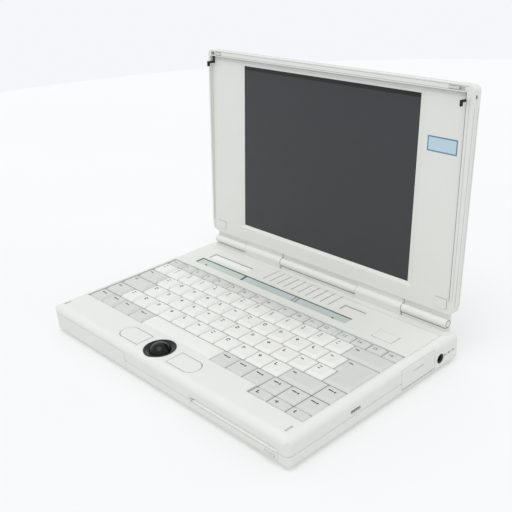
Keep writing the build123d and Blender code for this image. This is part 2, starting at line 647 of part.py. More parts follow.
def lid_back_cover():
    """The back shell, with three knuckles on the hinge axis and two screw posts."""
    front = -BEZEL_THICK - SHELL_GAP
    body = lid_outline(-LID_BACK, front)
    body = fillet(body.faces().sort_by(Axis.Y)[-1].edges(), LID_ROUND)
    body -= lid_outline(-LID_BACK + LID_WALL, 1, LID_WALL)
    for x0, x1 in knuckle_spans():
        body += lid_box(x0, x1, -4.8, front, 0, LID_LOW + 2) + rod_x(x0, x1, 0, 0, KNUCKLE_R)
    for side in (-1, 1):
        body -= rod_x(*span(side, (OUTER_KNUCKLE[0] - 1, OUTER_KNUCKLE[1] - 1)), 0, 0, PIN_R + RUNNING)
        body -= rod_x(*span(side, (INNER_KNUCKLE - 8, INNER_KNUCKLE + 1)), 0, 0, PIN_R + RUNNING)
    for x, v in CAP_PLACES:
        body += lid_rod(x, v, -LID_BACK + 0.5, front, 2.6)
        body -= lid_rod(x, v, -LID_BACK + 1.8, 1, 1.3)
    return body


def lid_inside():
    """Screen module, lamp tube, inverter, and the screws under their square caps."""
    margin = 4.0
    parts["display_panel"] = lid_box(SCREEN_X[0] - margin, SCREEN_X[1] + margin, -6.2, -BEZEL_THICK - 0.1,
                                     SCREEN_LOW - margin, SCREEN_HIGH + margin)
    parts["lamp_tube"] = rod_x(-100.0, 100.0, 3.3, SCREEN_LOW - 7, 1.3)
    board = lid_box(112.0, 124.0, -6.0, -4.8, 50.0, 140.0)
    parts["lamp_inverter"] = board + lid_box(114.0, 122.0, -4.8, -2.4, 60.0, 84.0)
    caps = []
    screws = []
    for x, v in CAP_PLACES:
        caps.append(lid_rod(x, v, -0.8, 0.1, 2.7) + lid_box(x - 5.5, x + 5.5, 0.05, 0.5, v - 4, v + 4))
        screws.append(lid_rod(x, v, -LID_BACK + 2, -1.8, 1.2) + lid_rod(x, v, -1.8, -0.9, 1.5))
    parts["screw_caps"] = Compound(children=caps)
    parts["lid_screws"] = Compound(children=screws)


def latches():
    """On each side a slider in the rim and the black hook that it moves."""
    for side, name in ((-1, "left"), (1, "right")):
        parts[name + "_latch_slider"] = lid_box(*SLIDER_X[side], 1.5, RIM_HIGH + 0.35, *SLIDER_V)
        x0 = HOOK_X[side] - HOOK_WIDE / 2
        x1 = HOOK_X[side] + HOOK_WIDE / 2
        top = HOOK_V + HOOK_HALF
        stem = lid_box(x0, x1, 0.1, 1.3, top - 1.8, LID_TOP - 4.6)
        arm = lid_box(x0, x1, 0.1, HOOK_OUT, top - 1.8, top)
        claw = lid_box(x0, x1, HOOK_OUT - 2.2, HOOK_OUT, HOOK_V - HOOK_HALF, top)
        parts[name + "_hook"] = stem + arm + claw


def cover_form(x0, x1, inset):
    """A hinge cover's barrel with its flat foot, or their hollow when inset by the wall."""
    low = DECK - 3.2 - inset
    foot = block(x0, x1, -COVER_BARREL + inset, REAR - 1.2 - inset, low, HINGE_Z)
    return rod_x(x0, x1, 0, HINGE_Z, COVER_BARREL - inset) + foot


def hinges():
    """Pins that turn with the lid, in steel barrels that stand on the base under covers."""
    y0, y1 = BRACKET_Y
    end = 1.2
    for side, name in ((-1, "left"), (1, "right")):
        parts[name + "_hinge_pin"] = rod_x(*span(side, (INNER_KNUCKLE - 7, OUTER_KNUCKLE[1] - 2)), 0, 0, PIN_R)
        x0, x1 = span(side, BRACKET_SPAN)
        bracket = rod_x(x0 - 4, x1 + 4, 0, HINGE_Z, PIN_R + 1.1) + block(x0, x1, y0, y1, FLOOR, HINGE_Z)
        bracket += block(x0, x1, y0 - 10, y1, FLOOR, BOARD_Z[0] - 0.1)
        parts[name + "_hinge_bracket"] = bracket - rod_x(x0 - 5, x1 + 5, 0, HINGE_Z, PIN_R + RUNNING)
        x0, x1 = span(side, COVER_SPAN)
        neck = block(x0, x1, *COVER_NECK, HINGE_Z, HINGE_Z + COVER_R) & rod_x(x0, x1, 0, HINGE_Z, COVER_R)
        cover = cover_form(x0, x1, 0) + neck - cover_form(x0 + end, x1 - end, 0.9)
        cover -= rod_x(x0 - 1, x1 + 1, 0, HINGE_Z, PIN_R + FIT)
        parts[name + "_hinge_cover"] = cover - envelope(0)


def lid():
    """Everything in the lid, tilted back about the hinge axis."""
    base = set(parts)
    parts["lid_bezel"] = lid_bezel()
    parts["lid_back_cover"] = lid_back_cover()
    lid_inside()
    latches()
    hinges()
    fixed = ("_hinge_bracket", "_hinge_cover")
    for name in parts:
        if name not in base and not name.endswith(fixed):
            parts[name] = Pos(0, 0, HINGE_Z) * Rot(X=-TILT) * parts[name]


case_pieces()
battery()
diskette_drive()
drives_and_boards()
rear_ports()
right_side()
deck_pieces()
trackball()
trackball_buttons()
keyboard()
lid()

boxes = [shape.bounding_box() for shape in parts.values()]
middle_y = (min(box.min.Y for box in boxes) + max(box.max.Y for box in boxes)) / 2
os.makedirs("parts", exist_ok=True)
for name, shape in parts.items():
    export_step(Pos(0, -middle_y, 0) * shape, f"parts/{name}.step")
print("nodes", len(parts), "middle_y", round(middle_y, 4), "height", round(max(box.max.Z for box in boxes), 2))
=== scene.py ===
import math

import bmesh
import bpy
from mathutils import Matrix, Vector


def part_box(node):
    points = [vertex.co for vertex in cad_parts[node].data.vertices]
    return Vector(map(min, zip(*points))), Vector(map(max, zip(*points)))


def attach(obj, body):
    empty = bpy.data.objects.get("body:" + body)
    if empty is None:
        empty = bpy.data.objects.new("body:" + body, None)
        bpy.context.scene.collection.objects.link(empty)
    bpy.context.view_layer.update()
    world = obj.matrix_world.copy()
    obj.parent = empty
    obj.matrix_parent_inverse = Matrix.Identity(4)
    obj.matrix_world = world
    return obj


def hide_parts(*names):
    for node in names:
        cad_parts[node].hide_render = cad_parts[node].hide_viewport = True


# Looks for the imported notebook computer. Lengths are metres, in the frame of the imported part.
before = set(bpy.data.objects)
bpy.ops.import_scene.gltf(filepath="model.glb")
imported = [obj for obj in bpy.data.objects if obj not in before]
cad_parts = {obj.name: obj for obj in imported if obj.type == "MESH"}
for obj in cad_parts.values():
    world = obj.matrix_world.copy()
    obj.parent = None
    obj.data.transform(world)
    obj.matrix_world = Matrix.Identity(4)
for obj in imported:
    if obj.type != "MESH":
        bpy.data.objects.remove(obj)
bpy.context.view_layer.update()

MM = 0.001
PHOTO_SIDE = 512
SENSOR = 36.0

# Camera, as fitted to the photograph
CAMERA_PLACE = Vector((0.4724, -0.38949, 0.3485))
CAMERA_AZIMUTH = math.radians(46.95)
CAMERA_ELEVATION = math.radians(25.51)
CAMERA_ROLL = math.radians(3.46)
FOCAL_PIXELS = 806.47
CENTRE_PIXEL = (295.16, 277.35)
CLIP_START = 0.01

# Light and floor
SKY = (0.913, 0.922, 0.956)
SUN_COLOUR = (1.0, 0.995, 0.975)
SUN_STRENGTH = 1.0
SUN_ANGLE = math.radians(40)
SUN_FROM = Vector((0.15, -0.25, 1.0))
FLOOR_RADIUS = 1.25
FLOOR_STEPS = 96
FLOOR_RINGS = (0.35, 0.7, 1.0)
FLOOR_DARK = (0.495, 0.495, 0.495)
FLOOR_LIGHT = (0.505, 0.505, 0.505)
FLOOR_NOISE = (3, 2)
FLOOR_GLOW = (0.95, 0.96, 0.955, 1)
FLOOR_GLOW_STRENGTH = 0.36

# Noise of the materials as scale, detail and roughness, and how far tone and gloss follow it
CLOUDS = (26, 4, 0.6)
GLOSS = (120, 3)
GRAIN = (2200, 2)
BRUSH = (400, 3, 0.6)
NOISE_RANGE = (0.3, 0.7)
GLOSS_SWING = 0.06
GRAIN_DEEP = 0.02 * MM
BRUSH_TONES = (0.88, 1.08)
BRUSH_GLOSS = (-0.08, 0.1)
BRUSH_DEEP = 0.01 * MM
BRUSH_STRENGTH = 0.3
TRACK_SCALE = 160
TRACK_WIDE = 0.03
TRACK_TONES = (0.8, 2.4)
BOARD_NOISE = 200
BOARD_ROUGH = 0.35
BOARD_GLOSS = (0.28, 0.45)

# Colours of painted light: emission on the keys and on pale plastic in narrow gaps and slots, which lifts
# their shade though they are no lamps
KEY_PAINTED_GLOW = (0.7, 0.705, 0.67, 1)
PALE_PAINTED_GLOW = (0.8, 0.8, 0.77, 1)

# Lid frame in millimetres: U across, V up the lid, W towards the viewer of the screen
TILT = math.radians(5.9)
BEZEL_OUT = 1.1 * MM
pin_low, pin_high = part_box("left_hinge_pin")
HINGE = (pin_low + pin_high) / 2
LID = Matrix.Translation((0, HINGE.y, HINGE.z)) @ Matrix.Rotation(-TILT, 4, "X")
LID = LID @ Matrix(((1, 0, 0, 0), (0, 0, -1, -BEZEL_OUT), (0, 1, 0, 0), (0, 0, 0, 1)))
LID = LID @ Matrix.Scale(MM, 4)

# Base frame in millimetres: X across, Y to the back from the hinge, Z up from the table
BASE = Matrix.Translation((0, HINGE.y, 0)) @ Matrix.Scale(MM, 4)
DECK = 26.3
SIDE_X = 151.5

# Thin lines, plates and studs in millimetres. Bevels are metres in every frame.
LINE_WIDE = 0.35
LINE_DEEP = 0.15
SKIN = 0.03
HAIR = 0.02
SINK = 0.1
DOT_DEEP = 0.3
DOT_SIDES = 20
FINE_BEVEL = 0.05 * MM
BEVEL_STEPS = 2

# Edges that stay sharp on smooth pieces, and points of a CAD mesh that count as one
SHARP = math.radians(50)
WELD = 0.001 * MM

# Key caps: share of the height, inset and corner radius in millimetres
KEY_SKIRT = 0.58
KEY_LEVELS = [(0.0, -0.46, 0.6), (KEY_SKIRT, -0.46, 0.7), (0.66, 0.0, 0.9), (0.82, 1.0, 1.4),
              (0.93, 2.0, 2.0), (0.98, 2.9, 2.3), (1.0, 3.8, 2.4)]
KEY_INNER = (4.8, 6.2)
KEY_INNER_RADIUS = 1.6
KEY_REAR_SHIFT = 0.45 * MM
KEY_RIM = 3.0 * MM
DISH_DEEP = 0.5 * MM
WIDE_KEY = 50 * MM
LOW_KEY = 12 * MM
LOW_KEY_SQUASH = 0.5
ENTER_FRONT = 2 * MM
CORNER_SHARE = 0.49
ARC_STEPS = 5

# Fixed ribs in the wide gaps of the row of function keys
BLANK_GAP = 3 * MM
BLANK_SIDE = 0.7 * MM
BLANK_END = 0.2 * MM
BLANK_SINK = 0.05 * MM
BLANK_TOP = DECK * MM - 0.7 * MM
BLANK_BEVEL = 0.5 * MM

# Legends in millimetres: in from the key's left and rear edges, then width and height.
# The digits have one size in place of these two.
LEGEND_LIFT = 0.04 * MM
FUNCTION_DASH = (4.0, 5.6, 5.2, 1.6)
NUMBER_MARK = (4.9, 9.3, 2.6, 2.8)
UPPER_MARK = (4.9, 5.5, 2.0, 1.8)
LETTER_MARK = (4.9, 7.5, 3.2, 3.4)
LOW_KEY_MARK = (5.0, 6.0, 4.2, 3.2)
WORD_MARK = (4.9, 6.5, 7.0, 1.9)
LONG_WORD_MARK = (4.9, 6.5, 8.4, 1.9)
LONG_WORD_KEY = 20 * MM
FUNCTION_DIGIT = (4.0, 6.0, 4.4)
NUMBER_DIGIT = (4.9, 9.5, 4.8)

# Plain marks in a unit square, each a list of strokes (x0, y0, x1, y1)
MARKS = [
    [(0.0, 0.36, 1.0, 0.64)],
    [(0.0, 0.0, 0.25, 1.0), (0.0, 0.0, 0.8, 0.25)],
    [(0.0, 0.36, 1.0, 0.64), (0.36, 0.0, 0.64, 1.0)],
    [(0.1, 0.0, 0.35, 1.0), (0.6, 0.0, 0.85, 1.0)],
    [(0.0, 0.0, 0.9, 0.22), (0.0, 0.78, 0.9, 1.0), (0.0, 0.0, 0.22, 1.0), (0.68, 0.0, 0.9, 1.0)],
    [(0.0, 0.75, 0.9, 1.0), (0.0, 0.0, 0.9, 0.25)],
]
DASH_AND_DOT = [(0, 0.3, 0.68, 0.85), (0.78, 0, 1, 1)]

# Status window: dividers as front X, rear X and width, and studs as X and Y
STATUS_TOP = 25.4
STATUS_X = (-124.6, 73.5)
STATUS_Y = (-45.9, -35.6)
STATUS_MARGIN = 0.12
# Width and height of the painted shade along the window's rear and left edges
STATUS_RIM = 0.5
STATUS_RIM_HIGH = 0.5
STATUS_DIVIDERS = ((-57.8, -59.8, 2.6), (9.0, 7.4, 1.0), (12.8, 11.3, 1.0))
STATUS_STUDS = ((-109.7, -44.8), (58.6, -44.8))
STUD_R = 0.95
STUD_HIGH = 0.85

# Blank label plate and badge plate in their recesses of the deck
LABEL_X = (-121.0, -65.5)
LABEL_Y = (-31.3, -21.9)
LABEL_FLOOR = 25.6
LABEL_THICK = 0.3
BADGE_X = (52.0, 76.0)
BADGE_Y = (-29.0, -20.8)
BADGE_FLOOR = 25.7
BADGE_THICK = 0.25
PLATE_SHADE = 0.9
PLATE_MARGIN = 0.15
PLATE_BEVEL = 0.08 * MM
WALL_LIFT = 0.05

# Line along the crease of the deck
CREASE = -12.2
CREASE_LEFT = -30.0
CREASE_RIGHT = 145.2
CREASE_FRONT = -54.0

# Latch wells in the deck
LATCH_X = (-144.0, 142.3)
LATCH_Y = 176.4
WELL_HALF_X = 2.3
WELL_HALF_Y = 5.2
WELL_WALL = 1.0
WELL_BOTTOM = 20.2
WELL_FLOOR = 21.2
WELL_TOP = 24.35
WELL_BEVEL = 0.2 * MM
WELL_WALL_BEVEL = 0.1 * MM

# Mouth of the diskette slot, with its sloping lip
SLOT_X = (46.6, 139.4)
SLOT_Y = (-184.6, -166.0)
SLOT_FLOOR = (10.5, 10.72)
LIP_PLACE = (93.0, -185.75, 10.19)
LIP_SLOPE = math.radians(19)
LIP_LOW = (-46.4, -0.1, -0.15)
LIP_HIGH = (46.4, 1.2, 0.05)

# Lamps at the rear of the right side
LAMP_Y = (-14.5, -9.2, -3.8)
LAMP_Z = 12.5
LAMP_R = 0.75
LAMP_LINE = 0.1
LAMP_LINE_DEEP = 0.2

# Outer edges of the lid, and the face of its rim, which tapers from top to foot
LID_TOP = 188.0
LID_SIDE = 149.5
RIM_LOW = 0.4
RIM_HIGH = 3.1
RIM_TOP = 5.4
RIM_INNER = 142.9

# Sticker, and the oval mark on the lid's right side
STICKER_U = (110.3, 137.7)
STICKER_V = (135.0, 146.8)
STICKER_THICK = 0.12
STICKER_EDGE = 1.0
STICKER_BEVEL = 0.03 * MM
SIDE_MARK = (LID_SIDE, 179.7, -0.5)
SIDE_MARK_R = 1.0
SIDE_MARK_STRETCH = 1.5

# Lines of the lid. The slanting ones are given by their U and width.
INNER_LINE_V = (22.0, 180.0)
INNER_LINE_WIDE = 0.5
RIM_LINES_V = (183.6, 186.9)
RIM_LINES_HALF = 144.5
RIM_LINES_WIDE = 0.4
EDGE_LINE = 0.45
TOP_LINES_W = (-3.4, -5.2)
TOP_LINES_HALF = 144.0
SIDE_LINES_W = (0.6, -4.4)
SIDE_LINES_V = (17.0, 172.0)
SLANT_V = (20.0, 178.0)
# The wide line at U -147.1 is painted shade of the left rim's inner wall; the other is one of the grooves.
GROOVE_AND_SHADE_SLANTS = ((146.2, LINE_WIDE), (-147.1, 0.9))
SHADOW_SLANT = (143.5, 0.5)
LOW_CAPS = 60.0

# Painted shadow: darker bands below the top rim, and at the top of the screen
BAND_U = (-145.9, RIM_INNER)
BAND_STEPS = (0.05, 1.7, 3.6)
SCREEN_BAND_U = (-102.0, 100.2)
SCREEN_BAND_V = (173.3, 176.7)

# Hinge: axis above the table, seat of the knuckles, and the ledges that the seat is cut in
AXIS_Z = 31.0
SEAT_R = 4.1
SEAT_FRONT = -1.8
SEAT_STEPS = 8
LEDGE_Y = (-2.8, 1.38)
LEDGE_Z = (24.3, 27.3)
LEDGES = ((-143.4, -98.6), (-47.4, 47.4), (98.6, 143.4))

# Ends of the lid's barrel: radius and lift of the ring of painted shadow and of the face on it
BARREL_END = 143.5
BARREL_RING = (3.3, 0.05)
BARREL_FACE = (2.5, 0.1)

# Nodes with a look other than that of their slot
NODE_LOOKS = {"keyboard_tray": "tray", "left_latch_slider": "slider", "right_latch_slider": "slider"}


def shader(name, colour, rough, **inputs):
    """A plain principled material, with the sockets that are the same all over."""
    mat = bpy.data.materials.new(name)
    mat.use_nodes = True
    bsdf = mat.node_tree.nodes["Principled BSDF"]
    bsdf.inputs["Base Color"].default_value = (*colour, 1)
    bsdf.inputs["Roughness"].default_value = rough
    for key, value in inputs.items():
        bsdf.inputs[key.replace("_", " ")].default_value = value
    return mat, bsdf


def noise(mat, scale, detail=2.0, rough=0.5, stretch=None):
    """Noise in the object's own coordinates, stretched along an axis where asked."""
    nodes, links = mat.node_tree.nodes, mat.node_tree.links
    coords = nodes.new("ShaderNodeTexCoord")
    node = nodes.new("ShaderNodeTexNoise")
    node.inputs["Scale"].default_value = scale
    node.inputs["Detail"].default_value = detail
    node.inputs["Roughness"].default_value = rough
    if stretch:
        mapping = nodes.new("ShaderNodeMapping")
        mapping.inputs["Scale"].default_value = stretch
        links.new(coords.outputs["Object"], mapping.inputs["Vector"])
        links.new(mapping.outputs["Vector"], node.inputs["Vector"])
    else:
        links.new(coords.outputs["Object"], node.inputs["Vector"])
    return node.outputs["Fac"]


def tint(mat, bsdf, fac, dark, light):
    """Colour that wanders between two close tones."""
    nodes, links = mat.node_tree.nodes, mat.node_tree.links
    ramp = nodes.new("ShaderNodeValToRGB")
    ends = ramp.color_ramp.elements
    ends[0].position, ends[1].position = NOISE_RANGE
    ends[0].color = (*dark, 1)
    ends[1].color = (*light, 1)
    links.new(fac, ramp.inputs["Fac"])
    links.new(ramp.outputs["Color"], bsdf.inputs["Base Color"])


def spread(mat, bsdf, fac, low, high):
    """Roughness that wanders between two values."""
    nodes, links = mat.node_tree.nodes, mat.node_tree.links
    node = nodes.new("ShaderNodeMapRange")
    node.inputs["From Min"].default_value = NOISE_RANGE[0]
    node.inputs["From Max"].default_value = NOISE_RANGE[1]
    node.inputs["To Min"].default_value = low
    node.inputs["To Max"].default_value = high
    links.new(fac, node.inputs["Value"])
    links.new(node.outputs["Result"], bsdf.inputs["Roughness"])


def grain(mat, bsdf, fac, deep, strength):
    """Fine relief from a noise."""
    nodes, links = mat.node_tree.nodes, mat.node_tree.links
    bump = nodes.new("ShaderNodeBump")
    bump.inputs["Distance"].default_value = deep
    bump.inputs["Strength"].default_value = strength
    links.new(fac, bump.inputs["Height"])
    links.new(bump.outputs["Normal"], bsdf.inputs["Normal"])


def shade(colour, factor):
    """The colour made darker or lighter."""
    return tuple(min(1.0, c * factor) for c in colour)


def moulded(name, colour, rough, mottle=0.02, strength=0.25, **inputs):
    """Moulded plastic: faint clouds of tone, uneven gloss and a fine eroded grain."""
    mat, bsdf = shader(name, colour, rough, **inputs)
    clouds = noise(mat, *CLOUDS)
    tint(mat, bsdf, clouds, shade(colour, 1 - mottle), shade(colour, 1 + mottle))
    spread(mat, bsdf, noise(mat, *GLOSS), rough - GLOSS_SWING, rough + GLOSS_SWING)
    grain(mat, bsdf, noise(mat, *GRAIN), GRAIN_DEEP, strength)
    return mat


def brushed(name, colour, rough, stretch):
    """Metal with fine lines along one direction."""
    mat, bsdf = shader(name, colour, rough, Metallic=1.0)
    lines = noise(mat, *BRUSH, stretch)
    tint(mat, bsdf, lines, *(shade(colour, factor) for factor in BRUSH_TONES))
    spread(mat, bsdf, lines, *(rough + swing for swing in BRUSH_GLOSS))
    grain(mat, bsdf, lines, BRUSH_DEEP, BRUSH_STRENGTH)
    return mat


def circuit(name, colour):
    """Lacquered board with paler tracks."""
    mat, bsdf = shader(name, colour, BOARD_ROUGH)
    nodes, links = mat.node_tree.nodes, mat.node_tree.links
    coords = nodes.new("ShaderNodeTexCoord")
    brick = nodes.new("ShaderNodeTexBrick")
    brick.inputs["Scale"].default_value = TRACK_SCALE
    brick.inputs["Mortar Size"].default_value = TRACK_WIDE
    brick.inputs["Color1"].default_value = (*colour, 1)
    brick.inputs["Color2"].default_value = (*shade(colour, TRACK_TONES[0]), 1)
    brick.inputs["Mortar"].default_value = (*shade(colour, TRACK_TONES[1]), 1)
    links.new(coords.outputs["Object"], brick.inputs["Vector"])
    links.new(brick.outputs["Color"], bsdf.inputs["Base Color"])
    spread(mat, bsdf, noise(mat, BOARD_NOISE), *BOARD_GLOSS)
    return mat


def glow(strength, colour=KEY_PAINTED_GLOW):
    """Painted light: emission that lifts the shade of pale plastic in a narrow gap, though it is no lamp.
    """
    return {"Emission_Color": colour, "Emission_Strength": strength}


def materials():
    """One material for each slot of the record, and the extra tones of small pieces."""
    return {
        "casing": moulded("casing", (0.700, 0.708, 0.668), 0.5, 0.012),
        # Both kinds of key carry painted light, emission that lifts the shade of their flanks and of the
        # gaps between them.
        "light_key": moulded("light_key", (0.560, 0.565, 0.535), 0.46, 0.012, strength=0.2, **glow(0.27)),
        "grey_key": moulded("grey_key", (0.455, 0.462, 0.440), 0.46, 0.015, strength=0.2, **glow(0.21)),
        "black_plastic": moulded("black_plastic", (0.006, 0.006, 0.006), 0.34, 0.2, strength=0.1, IOR=1.33),
        "ball": moulded("ball", (0.0045, 0.0048, 0.0072), 0.2, 0.15, strength=0.03, IOR=1.32),
        "screen": moulded("screen", (0.043, 0.044, 0.047), 0.42, 0.02, strength=0.05, IOR=1.34),
        "screen_shade": moulded("screen_shade", (0.016, 0.016, 0.018), 0.42, 0.02, strength=0.05, IOR=1.34),
        # Painted shadow of the lid's top rim on the bezel, nearest the rim.
        "band": moulded("band", (0.60, 0.606, 0.575), 0.5, 0.012),
        "status_glass": moulded("status_glass", (0.50, 0.56, 0.54), 0.2, 0.03, strength=0.03),
        "rubber": moulded("rubber", (0.05, 0.05, 0.05), 0.75, 0.1, strength=0.5),
        "steel": brushed("steel", (0.52, 0.52, 0.53), 0.36, (1, 14, 14)),
        "board": circuit("board", (0.025, 0.16, 0.075)),
        "chip": moulded("chip", (0.03, 0.03, 0.032), 0.6, 0.1, strength=0.4),
        "aluminium": brushed("aluminium", (0.66, 0.67, 0.68), 0.34, (12, 1, 12)),
        "cell": moulded("cell", (0.12, 0.25, 0.34), 0.35, 0.06, strength=0.08),
        "lamp": moulded("lamp", (0.85, 0.85, 0.82), 0.1, 0.01, strength=0.02),
        "dark_grey": moulded("dark_grey", (0.16, 0.16, 0.155), 0.5, 0.05),
        "ink": moulded("ink", (0.035, 0.035, 0.038), 0.55, 0.06, strength=0.1),
        "line": moulded("line", (0.42, 0.43, 0.41), 0.6, 0.04, strength=0.1),
        "slider": moulded("slider", (0.58, 0.585, 0.56), 0.5, 0.03),
        # The tray tone, which the keyboard tray has, also stands as the farther strip of painted shadow
        # below the lid's top rim.
        "tray": moulded("tray", (0.52, 0.525, 0.50), 0.6, 0.03),
        # Painted shadow: lines along the right rim, outlines of the lower screw caps, and rings on the
        # barrel's ends.
        "groove": moulded("groove", (0.23, 0.235, 0.225), 0.6, 0.04, strength=0.1),
        # Dark tone of the dividers, studs, lamps and side mark, and also painted shade along the rear and
        # left of the status window and the deck's recesses.
        "edge": moulded("edge", (0.075, 0.095, 0.09), 0.5, 0.06, strength=0.1),
        # Pale plastic, lighter than the casing, with painted light: emission that lightens the shaded floor
        # of the diskette slot and the latch wells.
        "pale": moulded("pale", (0.86, 0.865, 0.83), 0.5, 0.01, **glow(0.3, PALE_PAINTED_GLOW)),
        "label": moulded("label", (0.80, 0.805, 0.79), 0.35, 0.008, strength=0.1),
        "sticker_blue": moulded("sticker_blue", (0.085, 0.21, 0.33), 0.3, 0.03, strength=0.05),
        "sticker_pale": moulded("sticker_pale", (0.46, 0.60, 0.68), 0.3, 0.02, strength=0.05),
    }


def dress_frame():
    """Gives every CAD node the material of its slot, and returns each node's slot."""
    slots = {}
    for name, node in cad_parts.items():
        slots[name] = node.material_slots[0].material.name.split(".")[0]
        node.material_slots[0].material = MATERIALS[NODE_LOOKS.get(name, slots[name])]
    return slots


def piece(name, bm, body, slot, *looks, smooth=False):
    """Turns a bmesh into an object that rides on a body."""
    bmesh.ops.recalc_face_normals(bm, faces=bm.faces)
    mesh = bpy.data.meshes.new(name)
    bm.to_mesh(mesh)
    bm.free()
    for look in looks:
        mesh.materials.append(MATERIALS[look])
    if smooth:
        mesh.shade_smooth()
        mesh.set_sharp_from_angle(angle=SHARP)
    obj = bpy.data.objects.new(name, mesh)
    bpy.context.scene.collection.objects.link(obj)
    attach(obj, body)
    return obj


def bar(bm, low, high, place=None, bevel=0.0, look=0):
    """Adds a box with bevelled edges, given by two corners in the frame of place."""
    low, high = Vector(low), Vector(high)
    middle = Matrix.Translation((low + high) / 2)
    matrix = (place or Matrix()) @ middle @ Matrix.Diagonal((*(high - low), 1))
    made = bmesh.ops.create_cube(bm, size=1, matrix=matrix)
    edges = {edge for vert in made["verts"] for edge in vert.link_edges}
    faces = {face for vert in made["verts"] for face in vert.link_faces}
    for face in faces:
        face.material_index = look
    if bevel:
        bmesh.ops.bevel(bm, geom=list(edges), offset=bevel, segments=BEVEL_STEPS,
                        affect="EDGES", profile=0.5, material=look)


def strip(bm, start, end, wide, level, place):
    """Adds a thin line between two points of a face that is level in the frame of place."""
    start, end = Vector(start), Vector(end)
    along = end - start
    middle = (start + end) / 2
    turn = Matrix.Rotation(math.atan2(along.y, along.x), 4, "Z")
    spot = place @ Matrix.Translation((middle.x, middle.y, level)) @ turn
    half = along.length / 2 + wide / 2
    bar(bm, (-half, -wide / 2, -LINE_DEEP), (half, wide / 2, SKIN), spot)


def dot(bm, centre, radius, place, look=0, lift=0.04):
    """Adds a low round stud whose axis is the Z of place."""
    sunk = Matrix.Translation((0, 0, (lift - DOT_DEEP) / 2))
    spot = place @ Matrix.Translation(centre) @ sunk
    made = bmesh.ops.create_cone(bm, cap_ends=True, segments=DOT_SIDES, radius1=radius,
                                 radius2=radius, depth=DOT_DEEP + lift, matrix=spot)
    for face in {face for vert in made["verts"] for face in vert.link_faces}:
        face.material_index = look


def islands(node):
    """The corners of each separate solid of a CAD node, lowest and highest."""
    bm = bmesh.new()
    bm.from_mesh(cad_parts[node].data)
    bmesh.ops.remove_doubles(bm, verts=bm.verts, dist=WELD)
    left = set(bm.verts)
    boxes = []
    while left:
        group = [left.pop()]
        for vert in group:
            near = {edge.other_vert(vert) for edge in vert.link_edges} & left
            left -= near
            group.extend(near)
        points = [vert.co for vert in group]
        low = Vector([min(p[n] for p in points) for n in range(3)])
        high = Vector([max(p[n] for p in points) for n in range(3)])
        boxes.append((low, high))
    bm.free()
    return sorted(boxes, key=lambda b: (-round(b[1].y, 4), b[0].x))


def outline(corners, inset_x, inset_y, radius):
    """A closed outline of upright and level edges, drawn in and with rounded corners."""
    count = len(corners)
    moved = []
    for n, (x, y) in enumerate(corners):
        before, after = corners[n - 1], corners[(n + 1) % count]
        flow = (after[0] - before[0], after[1] - before[1])
        moved.append((x - math.copysign(inset_x, flow[1]), y + math.copysign(inset_y, flow[0])))
    points = []
    for n in range(count):
        here = Vector(moved[n])
        before = Vector(moved[n - 1]) - here
        after = Vector(moved[(n + 1) % count]) - here
        r = min(radius, before.length * CORNER_SHARE, after.length * CORNER_SHARE)
        centre = here + before.normalized() * r + after.normalized() * r
        start = here + before.normalized() * r - centre
        end = here + after.normalized() * r - centre
        for step in range(ARC_STEPS + 1):
            t = step / ARC_STEPS * math.pi / 2
            points.append(centre + start * math.cos(t) + end * math.sin(t))
    return points


def key_corners(node, low, high):
    """The plan of a key, anticlockwise. The enter key is narrower in its front row."""
    if node != "enter_key":
        return [(low.x, low.y), (high.x, low.y), (high.x, high.y), (low.x, high.y)]
    middle = (low.y + high.y) / 2
    points = [v.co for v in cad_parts[node].data.vertices]
    step = min(p.x for p in points if p.y < middle - ENTER_FRONT)
    return [(step, low.y), (high.x, low.y), (high.x, high.y), (low.x, high.y),
            (low.x, middle), (step, middle)]


def dish(x, middle, half):
    """How far the top of a key lies below its rim."""
    return DISH_DEEP * max(0.0, 1 - ((x - middle) / half) ** 2)


def add_key(bm, node, low, high):
    """Adds one key cap: an upright skirt, sloping sides, rounded shoulders and a dished top."""
    tall = high.z - low.z
    squash = LOW_KEY_SQUASH if high.y - low.y < LOW_KEY else 1.0
    deep = 0.0 if high.x - low.x > WIDE_KEY else 1.0
    corners = key_corners(node, low, high)
    middle = (low.x + high.x) / 2
    half = (high.x - low.x) / 2 - KEY_RIM
    levels = KEY_LEVELS + [(1.0, inset, KEY_INNER_RADIUS) for inset in KEY_INNER]
    rings = []
    for share, inset, radius in levels:
        shift = KEY_REAR_SHIFT * max(0.0, share - KEY_SKIRT) / (1 - KEY_SKIRT) * squash
        points = outline(corners, inset * MM, inset * MM * squash, radius * MM * squash)
        ring = []
        for p in points:
            sink = deep * dish(p.x, middle, half) if share == 1.0 else 0.0
            ring.append(bm.verts.new((p.x, p.y + shift, low.z + tall * share - sink)))
        rings.append(ring)
    for lower, upper in zip(rings, rings[1:]):
        for n in range(len(lower)):
            m = (n + 1) % len(lower)
            bm.faces.new((lower[n], lower[m], upper[m], upper[n]))
    bm.faces.new(rings[-1])
    bm.faces.new(list(reversed(rings[0])))
    return middle, half, deep


def digits(text, size):
    """Flat faces of plain numbers, as a mesh with its lower left corner at zero."""
    curve = bpy.data.curves.new("digits", "FONT")
    curve.body = text
    curve.size = size
    obj = bpy.data.objects.new("digits", curve)
    mesh = bpy.data.meshes.new_from_object(obj)
    bpy.data.objects.remove(obj)
    bpy.data.curves.remove(curve)
    return mesh


def add_marks(bm, strokes, spot, low, high, level):
    """Adds flat strokes whose height follows the key's dish."""
    left, rear, wide, tall = (value * MM for value in spot)
    x, y = low.x + left, high.y - rear
    for x0, y0, x1, y1 in strokes:
        corners = [(x0, y0), (x1, y0), (x1, y1), (x0, y1)]
        places = [(x + u * wide, y + v * tall) for u, v in corners]
        face = bm.faces.new([bm.verts.new((u, v, level(u))) for u, v in places])
        face.material_index = 1


